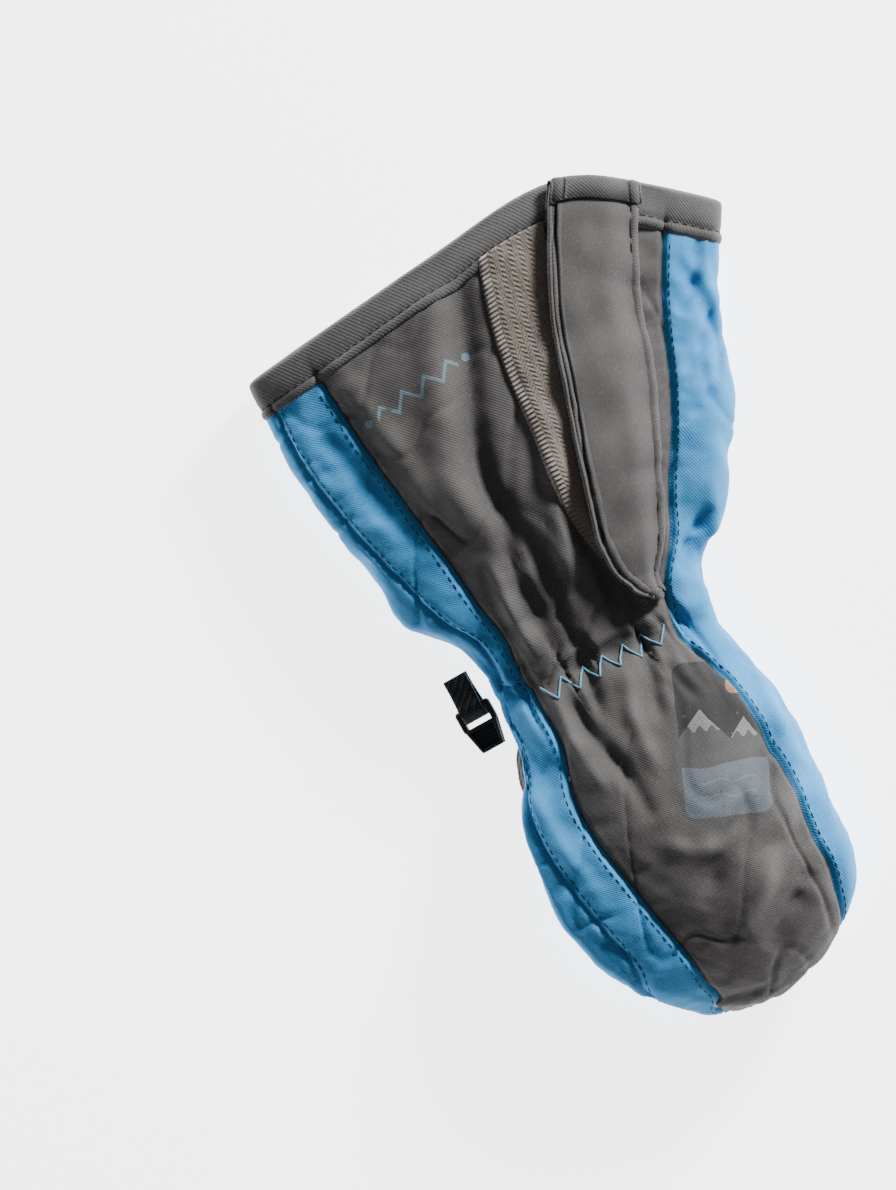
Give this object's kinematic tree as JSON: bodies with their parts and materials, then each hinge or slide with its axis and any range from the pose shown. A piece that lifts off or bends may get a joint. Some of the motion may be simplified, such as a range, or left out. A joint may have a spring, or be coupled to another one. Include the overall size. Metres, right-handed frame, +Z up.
{
  "type": "ski mitten",
  "caption": "Child's long-cuff padded ski mitten for the left hand, with a gathered wrist, a hook-and-loop cuff flap, a thumb pocket and a small plastic clip.",
  "frame": {"origin": "centre of the bounding box at its bottom, on the surface that the mitten lies on", "axes": "+Y along the hand axis towards the cuff mouth, +X towards the little finger side, +Z up out of the back of the hand"},
  "size_m": [0.1531, 0.2534, 0.0365],
  "materials": {
    "grey_shell": "matt coated twill",
    "blue_shell": "matt coated twill",
    "black_palm": "matt grip fabric",
    "binding_tape": "woven tape",
    "wadding": "polyester wadding",
    "fleece": "brushed fleece",
    "loop_pile": "loop pile tape",
    "hook_tape": "hook tape",
    "elastic": "woven elastic",
    "webbing": "narrow webbing",
    "clip_plastic": "moulded, fine texture"
  },
  "bodies": {
    "cuff": {"cuff_thumb_side_panel": "blue_shell", "cuff_back_panel": "grey_shell", "cuff_gusset": "grey_shell", "cuff_hinge_strip": "grey_shell", "cuff_outer_side_panel": "blue_shell", "cuff_palm_panel": "grey_shell", "cuff_insulation": "wadding", "cuff_lining": "fleece", "loop_strip": "loop_pile", "cuff_binding": "binding_tape", "wrist_gather_back": "grey_shell", "wrist_gather_outer_side": "blue_shell", "wrist_gather_palm": "black_palm", "wrist_gather_thumb_side": "blue_shell", "wrist_elastic": "elastic", "wrist_lining": "fleece", "clip_webbing": "webbing"},
    "hand": {"thumb_side_panel": "blue_shell", "back_panel": "grey_shell", "outer_side_panel": "blue_shell", "palm_panel": "black_palm", "thumb_side_lower_panel": "blue_shell", "hand_insulation": "wadding", "hand_lining": "fleece"},
    "thumb": {"thumb_inner_panel": "black_palm", "thumb_outer_panel": "black_palm", "thumb_insulation": "wadding", "thumb_lining": "fleece"},
    "flap": {"cuff_flap": "grey_shell", "flap_backing": "grey_shell", "flap_edge_tape": "binding_tape", "hook_strip": "hook_tape", "flap_binding": "binding_tape"},
    "clip": {"clip_body": "clip_plastic"}
  },
  "joints": [
    {"name": "wrist_bend", "type": "hinge", "parent": "cuff", "child": "hand", "pos_m": [-0.0039, -0.0102, 0.0125], "axis": [-1, 0, 0], "range_deg": [-25, 25], "stiffness_Nm_per_rad": 0.03, "deforming": ["wrist_gather_back", "wrist_gather_outer_side", "wrist_gather_palm", "wrist_gather_thumb_side", "wrist_elastic", "wrist_lining"]},
    {"name": "thumb_swing", "type": "hinge", "parent": "hand", "child": "thumb", "pos_m": [-0.0284, -0.0332, 0.0075], "axis": [0, 0, -1], "range_deg": [0, 55]},
    {"name": "flap_open", "type": "hinge", "parent": "cuff", "child": "flap", "pos_m": [0.01966, 0.00146, 0.02925], "axis": [0.3042, 0.9524, -0.0176], "range_deg": [0, 150]},
    {"name": "clip_swing", "type": "hinge", "parent": "cuff", "child": "clip", "pos_m": [-0.0471, -0.0132, 0.009], "axis": [0.9661, 0.153, 0.2079], "range_deg": [-50, 50]}
  ]
}
